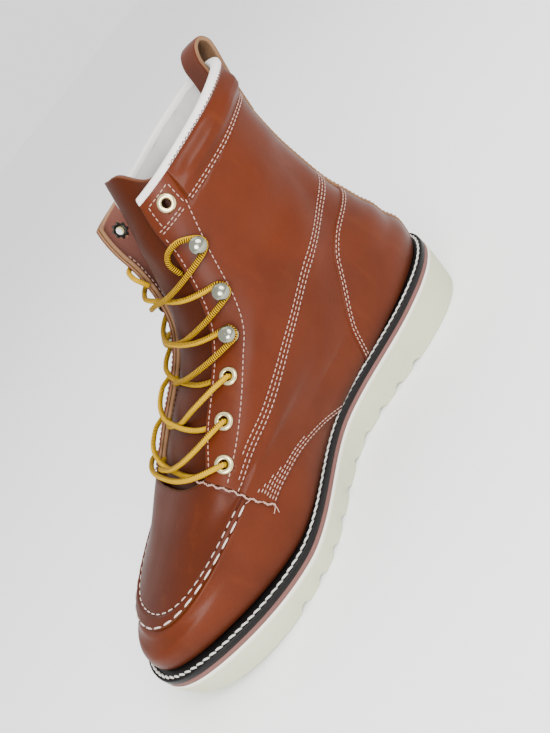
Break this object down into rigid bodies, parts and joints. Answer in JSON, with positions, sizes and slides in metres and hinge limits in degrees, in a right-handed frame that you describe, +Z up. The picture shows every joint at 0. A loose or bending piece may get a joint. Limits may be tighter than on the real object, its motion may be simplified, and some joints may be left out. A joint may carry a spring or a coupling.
{
  "type": "work boot",
  "caption": "Lace-up leather work boot with moc toe, padded collar, stitched welt and cream wedge sole, hollow inside and open at collar and throat.",
  "frame": {"origin": "on the floor under the middle of the sole's bounding box", "axes": "+X to the toe, +Y to the boot's inner side (its left, as it is a right boot), +Z up"},
  "size_m": [0.2996, 0.1099, 0.2078],
  "materials": {
    "leather": "smooth, semi-gloss",
    "lining": "matte white lining",
    "sole": "matte cream foam rubber",
    "midsole": "matte brown",
    "welt": "satin black",
    "metal": "pale polished",
    "lace": "woven round lace"
  },
  "bodies": {
    "root": {"outsole": "sole", "midsole": "midsole", "welt": "welt", "insole": "lining", "upper": "leather", "apron": "leather", "quarter_inner": "leather", "quarter_outer": "leather", "lower_quarter_inner": "leather", "lower_quarter_outer": "leather", "counter_inner": "leather", "counter_outer": "leather", "collar_inner": "leather", "collar_outer": "leather", "backstay": "leather", "pull_loop": "leather", "tongue": "leather", "eyelet_top_inner": "metal", "eyelet_top_outer": "metal", "eyelet_upper_inner": "metal", "eyelet_upper_outer": "metal", "eyelet_middle_inner": "metal", "eyelet_middle_outer": "metal", "eyelet_lower_inner": "metal", "eyelet_lower_outer": "metal", "hook_upper_inner": "metal", "hook_upper_outer": "metal", "hook_middle_inner": "metal", "hook_middle_outer": "metal", "hook_lower_inner": "metal", "hook_lower_outer": "metal", "lace_bar": "lace", "lace_cross_hook_upper": "lace", "lace_cross_hook_middle": "lace", "lace_cross_hook_lower": "lace", "lace_cross_eyelet_upper": "lace", "lace_cross_eyelet_middle": "lace", "lace_end_inner": "lace", "lace_end_outer": "lace"}
  },
  "joints": []
}
